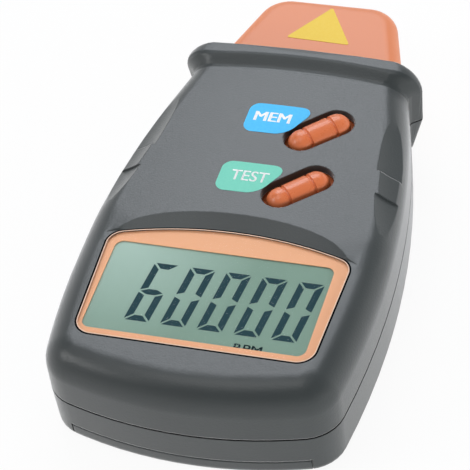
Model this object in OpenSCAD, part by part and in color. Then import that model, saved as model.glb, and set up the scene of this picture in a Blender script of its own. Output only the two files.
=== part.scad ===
/* [Case] */
// Widest width of the case
body_w = 70; // [68:1:78]
// Height of the parting line above the back
parting_h = 11.5; // [10:0.5:13]
// Wall thickness of both shells
wall = 2; // [1.8:0.1:2.3]
// Radius of the long side arcs
side_r = 205; // [195:5:260]
// Radius of the display end
end_r = 93; // [85:1:120]
// Corner radius at the display end
corner_r = 9; // [8.5:0.5:11]
// Distance from the display end to the widest place
widest_l = 39.5; // [36:0.5:44]
// Width of the rounding along the top edge
edge_w = 7; // [6:0.5:8]
// Height of the rounding along the top edge
edge_h = 7; // [6:0.5:8]
// Width of the rounding along the back edge
base_w = 2; // [1.5:0.1:3]
// Height of the rounding along the back edge
base_h = 2; // [1.5:0.1:3]
// Draft of the rear shell's side walls
base_draft = 0.3; // [0.2:0.1:0.6]
// Depth of the groove along the parting line
groove = 0.8; // [0.4:0.1:1]
// Half height of that groove
groove_h = 0.2; // [0.15:0.05:0.4]

/* [Face] */
// Height of the collar above the button panel
collar_rise = 2; // [1.5:0.25:2.5]
// Height of the button panel above the display face
step_rise = 2; // [1.5:0.25:2.5]
// Distance from the display end to the top of the arched step
step_l = 51.3; // [51:0.1:53]
// Run of the arched step's slope
step_run = 3.5; // [3.2:0.1:4]
// How far the panel falls from its middle to its edges
crown_drop = 1.5; // [1:0.1:1.8]
// Length of the button panel, from the top of the step to the collar's slope
panel_l = 47.5; // [45:0.5:54]
// Radius of the arched step, seen from above
step_foot_r = 86; // [80:1:95]

/* [Collar] */
// Width of the collar
collar_w = 57.4; // [56:0.2:60]
// Length of the collar's flat ridge
ridge_l = 1.1; // [0.8:0.1:2]
// Length of the slope from the button panel up to the ridge
ramp_l = 3.5; // [2.8:0.1:4]
// Length of the rounding from the ridge to the collar's front
brow_l = 2.4; // [2:0.1:3]
// Radius of the collar's near edge, seen from above
arch_r = 400; // [250:10:600]
// Radius of the collar's front, seen from above
front_r = 400; // [250:10:600]
// Rounding of the collar's two ends
collar_end_r = 2; // [1.5:0.1:2.2]
// Slant of the place where the sides flare out to the collar, per height
collar_slant = 0.19; // [0:0.01:0.22]

/* [Grip scoops] */
// Distance from the display end to the near tip of a scoop
scoop_start = 53.2; // [50:0.2:56]
// Length of a scoop
scoop_l = 34.7; // [30:0.1:36]
// Radius of a scoop across its length
scoop_r = 18; // [14:0.5:24]
// Depth of a scoop's middle below the line between its tips
scoop_depth = 0.7; // [0.4:0.05:1]
// Tilt of a scoop's opening above the level
scoop_tilt = 55; // [50:1:60]
// Distance of a scoop's near tip from the side of the case
near_tip_in = 2.4; // [2:0.1:3]
// Distance of a scoop's far tip from the side of the case
far_tip_in = 3.6; // [3:0.1:4]
// Length of the rib that divides a scoop
rib_l = 7; // [5:0.5:9]
// Height of that rib above the scoop
rib_rise = 0.45; // [0.3:0.05:0.7]

/* [Nose] */
// Length of the nose in front of the collar
nose_l = 25.2; // [24:0.1:28]
// Width of the nose at the collar
nose_w = 46.4; // [44:0.2:47]
// Width of the nose at its tip
nose_tip_w = 35; // [33:0.2:38]
// Corner radius of the tip, seen from above
nose_corner_r = 8; // [7:0.5:9]
// Radius of the nose's long edges
nose_edge_r = 4; // [3:0.25:5]
// Height of the nose's underside above the back
nose_base = 3.5; // [3.2:0.1:4.5]
// Height of the nose's top below the collar's top
nose_drop = 7; // [6.5:0.25:8]
// Wall thickness of the nose
nose_wall = 2.2; // [1.8:0.1:2.6]

/* [Optics] */
// Distance between the laser's and the receiver's axes
optics_pitch = 15; // [14.5:0.1:17]
// Diameter of the laser barrel
laser_d = 9; // [8:0.25:9.5]
// Length of the laser barrel
laser_l = 17; // [15:0.5:18]
// Diameter of the laser opening in the nose
aperture_d = 5; // [4:0.25:6]
// Diameter of the receiver lens
receiver_d = 12; // [11:0.25:13]
// Thickness of the sensor board
sensor_t = 1.2; // [1:0.1:1.6]
// Length of the sleeve that holds the laser barrel
sleeve_l = 9; // [7:0.5:10]
// Wall of the laser barrel in front of its lens
barrel_wall = 1.2; // [1:0.1:1.4]
// Thickness of the laser's lens
laser_lens_t = 2.4; // [1.6:0.1:2.6]
// Height of the receiver lens's dome
dome_h = 1.2; // [0.8:0.1:1.6]
// Width of the seat behind the receiver lens
lens_seat = 1; // [0.8:0.1:1.4]
// Diameter of the photodiode
diode_d = 5; // [4:0.25:6]
// Length of the photodiode
diode_l = 4; // [3:0.25:5]

/* [Display] */
// Length of the viewing window
window_l = 26.2; // [24:0.2:26.6]
// Corner radius of the viewing window
window_corner_r = 2; // [1.5:0.25:3]
// Distance from the display end to the middle of the window
window_y = 28.2; // [27.6:0.1:29]
// Sideways shift of the window from the centre line
window_shift = -0.6; // [-1:0.1:0]
// Distance from the case's widest place to the lens's upper corners
lens_margin = 6.9; // [6.8:0.1:8]
// How much further in each lower corner of the lens lies
lens_taper = 1.5; // [1:0.1:1.8]
// Width of the printed border beside the window
border_w = 1.5; // [1.5:0.1:2.5]
// Distance from the display end to the lens's lower edge
lens_low_y = 13; // [12.4:0.1:13.6]
// Distance from the display end to the top of the lens's arched edge
lens_top_y = 47.5; // [46.8:0.1:47.6]
// Corner radius of the lens
lens_corner_r = 4; // [3:0.25:5]
// Thickness of the lens
lens_t = 0.5; // [0.4:0.05:0.8]
// Thickness of the printed mask under the lens
mask_t = 0.15; // [0.1:0.05:0.3]
// Thickness of the display's lower glass
lcd_t = 0.9; // [0.7:0.1:1.1]
// Thickness of the ledge that the glass is pressed up to
ledge_t = 0.6; // [0.5:0.1:0.8]
// Width of the lower glass beyond the window, on each side
lcd_margin = 0.8; // [0.7:0.1:1]
// Wall of the frame round the contact strips
holder_w = 0.8; // [0.6:0.1:1]
// Width of a rubber contact strip
zebra_w = 1.6; // [1.2:0.1:2]
// Height of a rubber contact strip
zebra_h = 2.15; // [2:0.05:2.4]

/* [Buttons] */
// Length of a button
button_l = 15.6; // [14:0.2:15.8]
// Width of a button
button_w = 6.4; // [5.6:0.2:6.6]
// Length of a button's opening
slot_l = 17.5; // [17.2:0.1:18.4]
// Width of a button's opening
slot_w = 8.4; // [8.2:0.2:9.2]
// Turn of the buttons from the width of the case
button_tilt = 44; // [38:1:50]
// Height of the memory button above the panel
button_rise = 1.3; // [0.8:0.1:1.8]
// How much lower the test button sits
test_sink = 0.6; // [0:0.1:0.8]
// Travel of a button
button_travel = 0.5; // [0.3:0.05:0.6]
// Distance of the button centres from the centre line
button_x = 10.3; // [9.5:0.1:11]
// Place of the memory button, as a share of the panel's length
mem_at = 0.616; // [0.6:0.002:0.63]
// Place of the test button, as a share of the panel's length
test_at = 0.229; // [0.22:0.002:0.24]
// Thickness of the flange that keeps a button in its opening
flange_t = 0.9; // [0.7:0.1:1]
// Width of that flange beyond the opening
flange_w = 0.8; // [0.6:0.1:1]
// Radius of the two grooves round a button
ring_r = 0.4; // [0.3:0.05:0.5]
// Distance of those grooves from the middle of the button
ring_x = 3.2; // [2.6:0.1:3.8]
// Width of a tact switch
switch_w = 6; // [5.5:0.25:6.5]
// Diameter of a tact switch's plunger
plunger_d = 3.2; // [2.8:0.1:3.5]

/* [Battery and door] */
// Length of the battery without its terminals
battery_l = 46; // [45:0.5:46.5]
// Width of the battery
battery_w = 26; // [25:0.25:26.5]
// Thickness of the battery
battery_t = 17; // [16:0.25:17.5]
// Distance from the display end to the battery
battery_y = 7.8; // [7.4:0.1:8]
// Width of the door's lip beyond the door, on each side
lip_side = 2; // [1.8:0.1:2.4]
// Length of the door
door_l = 35; // [34.5:0.5:37]
// Thickness of the door
door_t = 1.8; // [1.5:0.1:2]
// Height of the door's lip
lip_h = 4; // [3.8:0.1:4.5]
// Reach of the door's hooks over the shell
hook_reach = 1.5; // [1.2:0.1:1.6]
// Thickness of the door's hooks
hook_t = 1; // [0.8:0.1:1.1]
// Length of a hook
hook_l = 5; // [4:0.5:7]
// Width of the foot that carries a hook
foot_w = 1.6; // [1.4:0.1:1.8]
// Distance between the battery's terminals
terminal_pitch = 12.7; // [12:0.1:13]
// Diameter of the battery's smaller terminal
terminal_d = 5.8; // [5.4:0.1:6]
// Diameter of the battery's larger terminal
socket_d = 7.6; // [7:0.1:8]
// Height of the terminals
terminal_h = 2.9; // [2.5:0.1:3]
// Length of the snap connector
snap_l = 22; // [21:0.5:23]
// Width of the snap connector
snap_w = 12; // [11:0.5:14]
// Thickness of the snap connector
snap_t = 3.6; // [3.4:0.1:3.8]

/* [Board and screws] */
// Thickness of the main board
board_t = 1.2; // [1:0.1:1.4]
// Distance from the far edge of the main board to the nose
board_gap = 2.2; // [1.8:0.1:3]
// Distance of the case screws near the display from the widest place
near_screw_in = 7.5; // [7.2:0.1:8]
// Distance of the case screws near the nose from the centre line
far_screw_x = 20.5; // [20:0.1:21]
// Distance of the board screws near the display from the centre line
near_pin_x = 17; // [16:0.2:18]
// Distance of the board screws near the nose from the centre line
far_pin_x = 21; // [20.4:0.1:21.4]
// Wall of a screw boss round its shank
boss_wall = 1.75; // [1.6:0.05:1.9]
// Wall of a board post round its screw
post_wall = 1.35; // [1.2:0.05:1.5]
// Width of the controller chip
chip_w = 12; // [10:0.5:13]
// Thickness of the controller chip
chip_t = 1.6; // [1.2:0.1:2]
// Length of the crystal
crystal_l = 10; // [8:0.5:11]
// Width of the crystal
crystal_w = 4.4; // [3.6:0.2:4.8]
// Height of the crystal
crystal_h = 3.4; // [2.8:0.1:3.8]
// Diameter of a case screw's shank
screw_d = 2.9; // [2.5:0.1:3]
// Diameter of a case screw's head
head_d = 5; // [4.5:0.1:5.2]
// Height of a case screw's head
head_h = 2.2; // [1.8:0.1:2.4]
// Length of a case screw's shank
screw_l = 12; // [10:0.5:13]
// Depth of the case screw's seat from the back
seat_h = 6; // [5:0.25:7]
// Diameter of a board screw's shank
pin_d = 1.5; // [1.2:0.1:1.6]
// Length of a board screw's shank
pin_l = 4.2; // [3.6:0.1:4.6]
// Height of a board screw's head
pin_head_h = 1.3; // [1:0.1:1.5]
// Diameter of a lead
lead_d = 1.4; // [1.2:0.1:1.6]

/* [Hidden] */
$fn = 48;
// Clearances: parts that slide, parts that only sit together, and the overlap of joined shapes
slide_gap = 0.25;
seat_gap = 0.15;
bite = 0.5;

// Places along the length, with the origin under the middle of the whole object
total_l = step_l + panel_l + ramp_l + ridge_l + brow_l + nose_l;
y_end = -total_l / 2;
y_tip = total_l / 2;
y_front = y_tip - nose_l;
y_ridge = y_front - brow_l - ridge_l;
y_ramp = y_ridge - ramp_l;
y_wide = y_end + widest_l;
y_step = y_end + step_l;
y_window = y_end + window_y;
y_socket = y_ridge - 0.4;
y_board = y_socket - board_gap;
// Heights of the stack from the battery up to the lens, and of the faces that follow from it
z_battery = door_t + slide_gap;
z_board = z_battery + battery_t + 2 * seat_gap;
z_board_top = z_board + board_t;
z_lcd = z_board_top + zebra_h;
z_ledge = z_lcd + lcd_t + seat_gap;
z_mask = z_ledge + ledge_t;
z_face = z_mask + mask_t + lens_t;
z_under = z_face - wall;
z_panel = z_face + step_rise;
z_roof = z_panel - wall;
body_t = z_panel + collar_rise;
z_nose = body_t - nose_drop;
// Widths that follow from the case and the battery
lens_top_w = body_w - 2 * lens_margin;
lens_low_w = lens_top_w - 2 * lens_taper;
window_w = lens_low_w - 2 * border_w;
door_w = battery_l + 2 * foot_w + 0.8;
lip_w = door_w + 2 * lip_side;

// The corner arc at the display end touches the end arc and the side arc
end_c = [0, y_end + end_r];
side_c = [body_w / 2 - side_r, y_wide];
corner_c = circles_meet(end_c, end_r - corner_r, side_c, side_r - corner_r);
end_turn = atan2(corner_c.x - end_c.x, end_c.y - corner_c.y);
side_turn = atan2(corner_c.x - side_c.x, side_c.y - corner_c.y);
y_side = corner_c.y - corner_r * cos(side_turn);

// The panel is crowned from side to side, so that the step runs out where it meets the edges
crown_r = (body_w / 2 - edge_w) ^ 2 / (2 * crown_drop);
function crown(x) = x ^ 2 / (2 * crown_r);

// Where the ceiling lifts to the panel, and the panel to the collar
y_lift = y_step + 0.3;
lift_l = 1.5;
y_flare = y_ramp - (collar_w / 2 - edge_w) ^ 2 / (2 * arch_r);
flare_l = ramp_l;
y_collar_end = y_front - (collar_w / 2) ^ 2 / (2 * front_r);

// The point where two circles cross, on the side of +x and -y
function circles_meet(a, ra, b, rb) =
    let (d = norm(b - a), u = (b - a) / d, along = (ra ^ 2 - rb ^ 2 + d ^ 2) / (2 * d))
    a + along * u + sqrt(ra ^ 2 - along ^ 2) * [-u.y, u.x];

function mix(a, b, t) = a + (b - a) * t;
function ease(t) = let (u = min(max(t, 0), 1)) u * u * (3 - 2 * u);
// Half width of the case's side arc at a place along the length
function side_x(y) = side_c.x + sqrt(side_r ^ 2 - (y - y_wide) ^ 2);
// Half width with the collar's flare, which starts later by a lag, and its rounded ends
function round_in(t, r) = let (u = min(max(t, 0), 1)) r * (1 - sqrt(1 - u * u));
function half_w(y, lag = 0) =
    mix(side_x(min(y, y_front)), collar_w / 2, ease((y - y_flare - lag) / flare_l))
    - round_in((y - y_collar_end) / collar_end_r + 1, collar_end_r);
// Height of the top face along the centre line and along the sides, and of the ceiling inside
function collar_z(y) = collar_rise * ease((y - y_flare) / flare_l);
function side_panel_z(y) =
    mix(z_face, z_panel - crown(half_w(y) - edge_w), ease((y - y_wide) / (y_lift - y_wide)));
function top_z(y) = side_panel_z(y) + collar_z(y);
function ceiling_z(y) = side_panel_z(y) - wall;
function lift_z(y) = mix(z_under, z_roof, ease((y - y_lift) / lift_l));

// Right half of the outline as [x, y, nominal y], moved inwards by d and cut off at y_last
end_n = 6;
corner_n = 6;
flare_marks = [0.12, 0.26, 0.4, 0.54, 0.67, 0.78, 0.87, 0.95, 1];
function side_ys(lag) = concat([for (k = [1:4]) mix(y_side, y_wide, k / 4)],
    [for (k = [1:4]) mix(y_wide, y_lift, k / 4)],
    [for (k = [1:2]) y_lift + lift_l * k / 2],
    [for (k = [1:8]) mix(y_lift + lift_l, y_flare + lag, k / 8)],
    [for (f = flare_marks) mix(y_flare + lag, y_collar_end, f)]);
function outline(d, y_last, lag = 0) = concat(
    [for (k = [0:end_n - 1]) let (a = end_turn * (2 * k + 1) / (2 * end_n))
        [(end_r - d) * sin(a), end_c.y - (end_r - d) * cos(a), y_end]],
    [for (k = [0:corner_n]) let (a = mix(end_turn, side_turn, k / corner_n))
        [corner_c.x + (corner_r - d) * sin(a), corner_c.y - (corner_r - d) * cos(a), y_end]],
    [for (y = side_ys(lag)) if (y < y_last - bite) [half_w(y, lag) - d, y, y]],
    [[half_w(y_last, lag) - d, y_last, y_last]]);

// A closed outline in the plane from right-half points
function half_shape(half) = concat([for (p = half) [p.x, p.y]],
    [for (k = [len(half) - 1:-1:0]) [-half[k].x, half[k].y]]);

// A solid through rings of right-half points and their mirror images
module mirror_loft(rings) {
    n = len(rings[0]);
    m = len(rings);
    points = [for (r = rings) each concat(r, [for (k = [n - 1:-1:0]) [-r[k].x, r[k].y, r[k].z]])];
    walls = [for (j = [0:m - 2], k = [0:2 * n - 1]) let (q = (k + 1) % (2 * n), a = 2 * n * j)
        [a + k, a + 2 * n + k, a + 2 * n + q, a + q]];
    caps = [for (k = [0:n - 2]) each let (l = 2 * n - 1 - k, t = 2 * n * (m - 1)) [
        [k, k + 1, l - 1, l], [t + l, t + l - 1, t + k + 1, t + k]]];
    polyhedron(points, concat(walls, caps), convexity = 8);
}

// Rings at one height. The outside flares later the lower it is, and the inside as late as the back.
y_outer = y_front + bite;
y_inner = y_front - brow_l;
late = collar_slant * z_panel;
function outer_level(d, z) = [for (p = outline(d, y_outer, collar_slant * (z_panel - z))) [p.x, p.y, z]];
function inner_level(d, z) = [for (p = outline(d, y_inner, late)) [p.x, p.y, z]];
// Rings round the upper edge, of the outside and of the ceiling
function outer_ring(turn) = let (drop = edge_h * (1 - sin(turn)))
    [for (p = outline(edge_w * (1 - cos(turn)), y_outer, collar_slant * drop))
        [p.x, p.y, top_z(p.z) - drop]];
function inner_ring(turn) = [for (p = outline(edge_w - (edge_w - wall) * cos(turn), y_inner, late))
    [p.x, p.y, ceiling_z(p.z) - (edge_h - wall) * (1 - sin(turn))]];
// Rings across the crown, drawn in to a share f of the width
function drawn_in(p, f, z) = [f * p.x, p.y + 0.05 * (1 - f) * max(0, y_wide - p.y),
    p.y > y_wide ? max(p.z, z - crown(f * p.x)) : p.z];
function outer_crown(f) = [for (p = outer_ring(90)) drawn_in(p, f, z_panel + collar_z(p.y))];
function inner_crown(f) = [for (p = inner_ring(90)) drawn_in(p, f, lift_z(p.y))];

module upper_body() {
    mirror_loft(concat([outer_level(groove, parting_h), outer_level(0, parting_h + groove_h)],
        [for (a = [0:10:90]) outer_ring(a)],
        [for (f = [0.8, 0.6, 0.4, 0.2, 0.05]) outer_crown(f)]));
}

module upper_cavity() {
    mirror_loft(concat([inner_level(wall, parting_h - 1)],
        [for (a = [0:30:90]) inner_ring(a)],
        [for (f = [0.75, 0.5, 0.25]) inner_crown(f)]));
}

// Rings of the lower half, from the flat back up to the parting line
module lower_body() {
    mirror_loft(concat(
        [for (a = [90:-15:0]) outer_level(base_draft + base_w * (1 - cos(a)), base_h * (1 - sin(a)))],
        [outer_level(0, parting_h - groove_h), outer_level(groove, parting_h)]));
}

module lower_cavity() {
    mirror_loft([inner_level(base_draft + base_w, wall),
        inner_level(base_draft + wall, base_h + wall / 2), inner_level(wall, parting_h + 1)]);
}

// A disc with its far rim at y, seen from above, used for the arched edges
module arch_disc(y, r, z, h) {
    translate([0, y - r, z]) cylinder(h = h, r = r, $fn = 180);
}

// A space through cross sections that all have the same number of [y, z] corners, from -x to +x
module cut_space(xs, sections) {
    n = len(sections[0]);
    m = len(xs) - 1;
    points = [for (k = [0:m]) each [for (c = sections[k]) [xs[k], c.x, c.y]]];
    walls = [for (k = [0:m - 1], i = [0:n - 1]) let (a = n * k, q = (i + 1) % n)
        [a + i, a + n + i, a + n + q, a + q]];
    polyhedron(points, concat(walls, [[for (i = [0:n - 1]) i]], [[for (i = [n - 1:-1:0]) n * m + i]]),
        convexity = 6);
}

// The height that an arc of radius r falls back by at x
function sag(x, r) = r - sqrt(r ^ 2 - x ^ 2);
cut_xs = [for (k = [-14:14]) body_w / 2 * k / 14];

// The space above the display face, which ends in an arched slope up to the crowned panel
module step_space() {
    past = 1.3;
    flat_w = body_w / 2 - edge_w;
    cut_space(cut_xs, [for (x = cut_xs) let (y = y_step - step_run - sag(x, step_foot_r),
        rise = past * max(step_rise - crown(x), 0.05),
        run = past * step_run * max(1 - (x / flat_w) ^ 6, 0.1))
        [[y_end - 1, z_face], [y, z_face], [y + run, z_face + rise], [y + run, body_t + 1],
            [y_end - 1, body_t + 1]]]);
}

// The space above the panel, which ends in the arched slope up to the collar's ridge
module collar_space() {
    clear = 0.02;
    cut_space(cut_xs, [for (x = cut_xs) let (y = y_ramp - sag(x, arch_r), z = z_panel - crown(x) + clear)
        concat([[y_flare - 1, z]],
            [for (t = [0:0.2:1]) [y + t * ramp_l, z + collar_rise * ease(t)]],
            [[y + ramp_l, body_t + 1], [y_flare - 1, body_t + 1]])]);
}

function unit(v) = v / norm(v);
// A point on the rounded edge, at a distance from the side of the case
function edge_point(y, inset) = [half_w(y) - inset, y,
    top_z(y) - edge_h * (1 - sqrt(1 - (1 - inset / edge_w) ^ 2))];
scoop_tips = [edge_point(y_end + scoop_start, near_tip_in),
    edge_point(y_end + scoop_start + scoop_l, far_tip_in)];

// A barrel outside the right edge that touches it at a scoop's two tips, grown by c
module scoop_barrel(c) {
    chord = scoop_tips[1] - scoop_tips[0];
    span = norm(chord);
    u = chord / span;
    lean = [cos(scoop_tilt), 0, sin(scoop_tilt)];
    v = unit(lean - (lean * u) * u);
    w = cross(u, v);
    o = (scoop_tips[0] + scoop_tips[1]) / 2 + scoop_r * v;
    multmatrix([[v.x, w.x, u.x, o.x], [v.y, w.y, u.y, o.y], [v.z, w.z, u.z, o.z]])
        rotate_extrude($fn = 96) polygon(concat([[0, -span / 2]],
            [for (k = [0:12]) let (t = k / 6 - 1) [scoop_r + c + scoop_depth * (1 - t ^ 2), span / 2 * t]],
            [[0, span / 2]]));
}

module scoops() {
    rib_y = y_end + scoop_start + 0.42 * scoop_l;
    for (s = [0, 1]) mirror([s, 0, 0]) {
        difference() {
            scoop_barrel(0);
            translate([0, rib_y - rib_l / 2, 0]) cube([body_w, rib_l, 2 * body_t]);
        }
        scoop_barrel(-rib_rise);
    }
}

// A rounded rectangle in the plane, centred
module round_rect(w, l, r) {
    offset(r = r) square([w - 2 * r, l - 2 * r], center = true);
}

// The lens outline: tapered sides, an arched top and round corners
module lens_shape(d) {
    offset(r = lens_corner_r - d) offset(delta = -lens_corner_r) intersection() {
        polygon([[-lens_low_w / 2, y_end + lens_low_y], [lens_low_w / 2, y_end + lens_low_y],
            [lens_top_w / 2, y_end + lens_top_y], [-lens_top_w / 2, y_end + lens_top_y]]);
        translate([0, y_end + lens_top_y - step_foot_r]) circle(r = step_foot_r, $fn = 180);
    }
}

module window_shape() {
    translate([window_shift, y_window]) round_rect(window_w, window_l, window_corner_r);
}

// A block between two heights that is larger than the window by d on each side
upper_margin = 0.25;
module display_block(d, z0, z1) {
    translate([window_shift - window_w / 2 - d, y_window - window_l / 2 - d, z0])
        cube([window_w + 2 * d, window_l + 2 * d, z1 - z0]);
}

// Places of the screws: beside the step, and before the collar's slope
case_spots = [[body_w / 2 - near_screw_in, y_step - 2.8], [far_screw_x, y_ramp - 3.4]];
board_spots = [[near_pin_x, y_step], [far_pin_x, y_ramp - 9.9]];
boss_r = screw_d / 2 + boss_wall;
post_r = pin_d / 2 + post_wall;
module at_case_screws() { for (s = [1, -1], p = case_spots) translate([s * p.x, p.y, 0]) children(); }
module at_board_screws() { for (s = [1, -1], p = board_spots) translate([s * p.x, p.y, 0]) children(); }

// Heights of the buttons' parts under the crowned roof
z_slot = z_roof - crown(button_x + slot_l / 2 + flange_w);
z_flange = z_slot - 2 * seat_gap - flange_t;
z_switch_top = z_flange - button_travel - 0.3;
mem_spot = [button_x, y_step + mem_at * panel_l];
test_spot = [button_x, y_step + test_at * panel_l];

// A stadium in the plane, along x
module stadium(l, w) {
    square([l - w, w], center = true);
    for (s = [-1, 1]) translate([s * (l - w) / 2, 0]) circle(d = w);
}

module at_button(spot) { translate([spot.x, spot.y, 0]) rotate([0, 0, button_tilt]) children(); }

// The oval opening of a button
module button_slot(spot) {
    at_button(spot) hull() for (s = [-1, 1]) translate([s * (slot_l - slot_w) / 2, 0, z_slot - bite])
        cylinder(d = slot_w, h = body_t - z_slot + 2 * bite, $fn = 40);
}

module front_shell() {
    color("#4b4f52") difference() {
        union() {
            difference() {
                intersection() {
                    upper_body();
                    collar_rim();
                }
                step_space();
                collar_space();
                scoops();
                difference() {
                    upper_cavity();
                    for (s = [0, 1]) mirror([s, 0, 0]) scoop_barrel(0.7 * wall);
                }
            }
            for (s = [1, -1], p = case_spots) translate([s * p.x, p.y, 0]) front_boss(z_roof - crown(p.x));
            for (s = [1, -1], p = board_spots) translate([s * p.x, p.y, z_board_top])
                cylinder(r = post_r, h = z_roof - crown(p.x) - z_board_top + bite, $fn = 20);
        }
        translate([0, 0, z_mask]) linear_extrude(body_t) lens_shape(-seat_gap);
        display_block(upper_margin + seat_gap, z_under - bite, z_face);
        display_block(lcd_margin + seat_gap, z_under - bite, z_ledge);
        button_slot(mem_spot);
        button_slot(test_spot);
        at_case_screws() translate([0, 0, parting_h - 1])
            cylinder(d = screw_d + 2 * seat_gap, h = seat_h + screw_l + 1.5 - parting_h, $fn = 20);
        at_board_screws() translate([0, 0, z_board_top - 1])
            cylinder(d = pin_d + 2 * seat_gap, h = pin_l - board_t + 1.5, $fn = 16);
        nose_form(seat_gap);
    }
}

// The arched front of the collar, rounded towards its ridge
module collar_rim() {
    hull() {
        for (a = [0:30:90]) let (d = brow_l * (1 - cos(a)))
            arch_disc(y_front - d, front_r - d, 0, body_t - brow_l * (1 - sin(a)));
    }
}

// A screw post that spreads where it meets the roof
module front_boss(z_top) {
    hull() {
        translate([0, 0, parting_h]) cylinder(r = boss_r, h = z_top - parting_h - 3, $fn = 28);
        translate([0, 0, z_top - 1]) cylinder(r = boss_r + 0.5, h = 1 + bite, $fn = 28);
    }
}

module rear_shell() {
    color("#43474a") difference() {
        union() {
            difference() {
                intersection() {
                    lower_body();
                    arch_disc(y_front, front_r, -1, body_t);
                }
                lower_cavity();
            }
            at_case_screws() translate([0, 0, wall / 2]) cylinder(r = boss_r, h = parting_h - wall / 2);
            battery_wall();
        }
        at_case_screws() {
            translate([0, 0, -1]) cylinder(d = head_d + 4 * seat_gap, h = seat_h + 1);
            cylinder(d = screw_d + 4 * seat_gap, h = body_t);
        }
        door_space(slide_gap);
        snap_block(2 * seat_gap);
        nose_form(seat_gap);
    }
}

// The wall that closes the battery's space, and ribs beside the battery's ends
module battery_wall() {
    y_wall = y_end + door_l + slide_gap;
    rib_h = parting_h - lip_h - 2 * slide_gap - bite;
    translate([-door_w / 2, y_wall, wall / 2]) cube([door_w, wall * 0.8, parting_h]);
    for (s = [-1, 1], y = [0.3, 0.7]) {
        x_end = s * (battery_l / 2 + 2 * seat_gap);
        x_room = s > 0 ? x_end + snap_t + 2 * lead_d + 2 * seat_gap : x_end;
        y_rib = y_end + battery_y + battery_w * y;
        x_side = s * (side_x(y_rib) - base_draft - wall / 2);
        translate([min(x_room, x_side), y_rib, lip_h + 2 * slide_gap])
            cube([abs(x_side - x_room), wall * 0.7, rib_h]);
    }
}

// The battery door's own space, with a clearance all round
module door_space(c) {
    translate([-door_w / 2 - c, y_end - 1, -1]) cube([door_w + 2 * c, door_l + 1 + c, wall + 1 + c]);
    translate([-lip_w / 2 - c, y_end - 1, -1]) cube([lip_w + 2 * c, corner_r + 1 + c, lip_h + 1 + c]);
    translate([-door_w / 2 - hook_reach - c, y_end + corner_r, wall])
        cube([door_w + 2 * (hook_reach + c), door_l - corner_r, hook_t + slide_gap + c]);
}

module battery_door() {
    hook_y = y_end + door_l * 0.35;
    inside = half_shape(outline(base_draft + wall, y_end + door_l));
    color("#43474a") union() {
        difference() {
            intersection() {
                lower_body();
                union() {
                    translate([-door_w / 2, y_end - 1, -1]) cube([door_w, door_l + 1, lip_h + 1]);
                    translate([-lip_w / 2, y_end - 1, -1]) cube([lip_w, corner_r + 1, lip_h + 1]);
                }
            }
            translate([0, 0, door_t]) linear_extrude(body_t) polygon(inside);
        }
        for (s = [-1, 1], y = [0, door_l * 0.4]) {
            x_in = door_w / 2 - foot_w;
            translate([s > 0 ? x_in : -door_w / 2, hook_y + y, door_t - bite])
                cube([foot_w, hook_l, wall + slide_gap + hook_t - door_t + bite]);
            translate([s > 0 ? x_in : -door_w / 2 - hook_reach, hook_y + y, wall + slide_gap])
                cube([foot_w + hook_reach, hook_l, hook_t]);
        }
    }
}

// The nose as a tapered form with round edges, grown by c
module nose_form(c) {
    taper = (nose_w - nose_tip_w) / 2 / (nose_l - nose_corner_r);
    back_w = nose_w + 2 * taper * (y_front - y_socket);
    nose_h = z_nose - nose_base;
    hull() {
        translate([0, y_socket, nose_base + nose_h / 2]) rotate([90, 0, 0])
            linear_extrude(0.01) round_rect(back_w + 2 * c, nose_h + 2 * c, nose_edge_r + c, $fn = 32);
        for (s = [-1, 1]) translate([s * (nose_tip_w / 2 - nose_corner_r), y_tip - nose_corner_r, 0])
            rounded_puck(nose_corner_r + c, nose_base - c, z_nose + c, nose_edge_r + c);
    }
}

// A disc with rounded rims
module rounded_puck(r, z0, z1, edge) {
    rotate_extrude($fn = 48) intersection() {
        translate([0, z0]) square([r, z1 - z0]);
        hull() for (z = [z0 + edge, z1 - edge]) translate([r - edge, z]) circle(r = edge, $fn = 32);
    }
    translate([0, 0, z0]) cylinder(r = r - edge, h = z1 - z0);
}

laser_x = -optics_pitch / 2;
receiver_x = optics_pitch / 2;
z_optics = (nose_base + z_nose) / 2;
y_wall_in = y_tip - nose_wall;
module along_y(x, y, d, h) { translate([x, y, z_optics]) rotate([-90, 0, 0]) cylinder(d = d, h = h); }

module nose_cap() {
    color("#e08d62") difference() {
        union() {
            difference() {
                nose_form(0);
                nose_form(-nose_wall);
                translate([-nose_w / 2, y_socket - 1, nose_base + nose_wall])
                    cube([nose_w, nose_wall + 1, z_nose - nose_base - 2 * nose_wall]);
            }
            along_y(laser_x, y_wall_in - sleeve_l, laser_d + 2 * nose_wall, sleeve_l + bite);
            along_y(receiver_x, y_wall_in - sleeve_l / 2, receiver_d + nose_wall, sleeve_l / 2 + bite);
        }
        along_y(laser_x, y_wall_in - sleeve_l - 1, laser_d + 2 * seat_gap, sleeve_l + 1);
        along_y(laser_x, y_wall_in - 1, aperture_d, nose_wall + 2);
        along_y(receiver_x, y_wall_in - sleeve_l, receiver_d - 2 * lens_seat, sleeve_l + nose_wall + 1);
        along_y(receiver_x, y_wall_in - 1, receiver_d + 2 * seat_gap, nose_wall + 2);
    }
}

module display_lens() {
    color("#dfe7e8", 0.35) translate([0, 0, z_face - lens_t]) linear_extrude(lens_t) lens_shape(0);
}

module display_mask() {
    color("#f2a877") translate([0, 0, z_mask]) linear_extrude(mask_t) difference() {
        lens_shape(0);
        window_shape();
    }
}

// Two plates of glass: the upper one stands up through the opening to just under the mask
module lcd_panel() {
    color("#9fb5a3") union() {
        display_block(lcd_margin, z_lcd, z_lcd + lcd_t);
        display_block(upper_margin, z_lcd + lcd_t / 2, z_mask - seat_gap);
    }
}

module lcd_holder() {
    color("#d8d8d2") difference() {
        display_block(lcd_margin + seat_gap + holder_w, z_board_top, z_lcd);
        display_block(lcd_margin + seat_gap, z_board_top - 1, z_lcd + 1);
    }
}

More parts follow.
